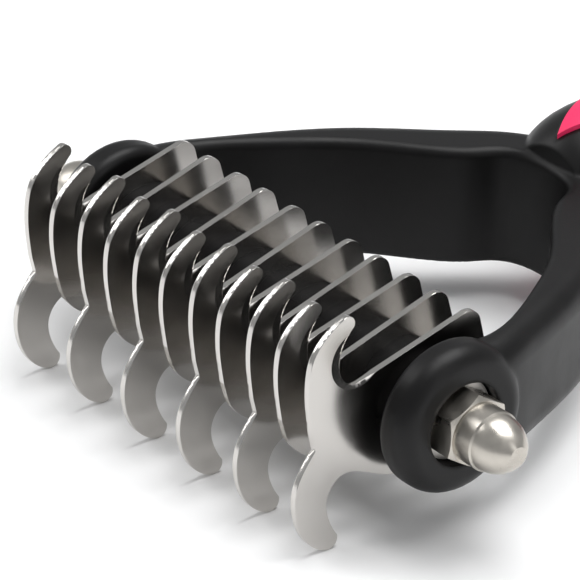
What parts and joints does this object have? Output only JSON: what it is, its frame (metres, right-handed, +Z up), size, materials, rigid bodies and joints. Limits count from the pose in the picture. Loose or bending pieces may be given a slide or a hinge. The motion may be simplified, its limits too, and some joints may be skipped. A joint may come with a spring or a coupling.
{
  "type": "dematting comb",
  "caption": "Pet dematting comb: a pack of curved and hooked steel blades spaced along a bolted shaft, held across a two-armed fork with a soft-grip handle.",
  "frame": {"origin": "centre of the footprint of the comb as it lies on a table, at the table's surface", "axes": "+X along the blade shaft, +Y from the blades towards the end of the handle, +Z up from the table"},
  "size_m": [0.086, 0.184, 0.0294],
  "materials": {
    "frame_plastic": "satin black, finely textured",
    "grip_rubber": "soft bright pink",
    "blade_steel": "satin polished stainless steel",
    "spacer_plastic": "satin black",
    "shaft_steel": "drawn steel",
    "washer_steel": "plain stamped steel",
    "nut_metal": "bright nickel plate"
  },
  "bodies": {
    "fork": {"fork_frame": "frame_plastic", "top_grip": "grip_rubber", "bottom_grip": "grip_rubber"},
    "blade_pack": {"shaft": "shaft_steel", "hooked_blade_1": "blade_steel", "hooked_blade_2": "blade_steel", "hooked_blade_3": "blade_steel", "hooked_blade_4": "blade_steel", "hooked_blade_5": "blade_steel", "hooked_blade_6": "blade_steel", "plain_blade_1": "blade_steel", "plain_blade_2": "blade_steel", "plain_blade_3": "blade_steel", "plain_blade_4": "blade_steel", "plain_blade_5": "blade_steel", "spacer_1": "spacer_plastic", "spacer_2": "spacer_plastic", "spacer_3": "spacer_plastic", "spacer_4": "spacer_plastic", "spacer_5": "spacer_plastic", "spacer_6": "spacer_plastic", "spacer_7": "spacer_plastic", "spacer_8": "spacer_plastic", "spacer_9": "spacer_plastic", "spacer_10": "spacer_plastic", "end_spacer_left": "spacer_plastic", "end_spacer_right": "spacer_plastic"},
    "washer_left": {"nut_washer_left": "washer_steel"},
    "washer_right": {"nut_washer_right": "washer_steel"},
    "nut_left": {"cap_nut_left": "nut_metal"},
    "nut_right": {"cap_nut_right": "nut_metal"}
  },
  "joints": [
    {"name": "blade_pack_swivel", "type": "hinge", "parent": "fork", "child": "blade_pack", "pos_m": [0, -0.07274, 0.01439], "axis": [1, 0, 0], "range_deg": [-90, 90]},
    {"name": "nut_left_travel", "type": "slide", "parent": "blade_pack", "child": "washer_left", "axis": [-1, 0, 0], "range_m": [0, 0.004]},
    {"name": "nut_left_turn", "type": "hinge", "parent": "washer_left", "child": "nut_left", "pos_m": [-0.0341, -0.07274, 0.01439], "axis": [-1, 0, 0], "range_deg": [0, 1800]},
    {"name": "nut_right_travel", "type": "slide", "parent": "blade_pack", "child": "washer_right", "axis": [1, 0, 0], "range_m": [0, 0.004]},
    {"name": "nut_right_turn", "type": "hinge", "parent": "washer_right", "child": "nut_right", "pos_m": [0.0341, -0.07274, 0.01439], "axis": [1, 0, 0], "range_deg": [0, 1800]}
  ],
  "couplings": [
    {"joint": "nut_left_turn", "follows": "nut_left_travel", "rad_per_m": 7854},
    {"joint": "nut_right_turn", "follows": "nut_right_travel", "rad_per_m": 7854}
  ]
}
